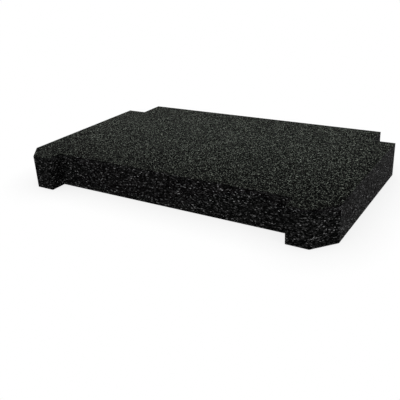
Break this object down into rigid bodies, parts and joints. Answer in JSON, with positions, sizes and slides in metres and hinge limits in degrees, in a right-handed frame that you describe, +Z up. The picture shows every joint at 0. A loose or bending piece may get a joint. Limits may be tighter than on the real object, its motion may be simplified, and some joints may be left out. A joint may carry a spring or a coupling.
{
  "type": "tool drawer foam insert",
  "caption": "Flat black closed-cell foam slab, cut to a drawer's plan with a recessed front edge, chamfered front corners and notched back corners, to bed tools in a drawer.",
  "frame": {"origin": "under the middle of the slab, on the underside", "axes": "+X to the right along the width, +Y to the back of the drawer, +Z up through the thickness"},
  "size_m": [0.372, 0.236, 0.038],
  "materials": {
    "foam": "near-black closed-cell foam, skived and knife-cut, matt with fine glinting cells"
  },
  "bodies": {
    "root": {"foam_insert": "foam"}
  },
  "joints": []
}
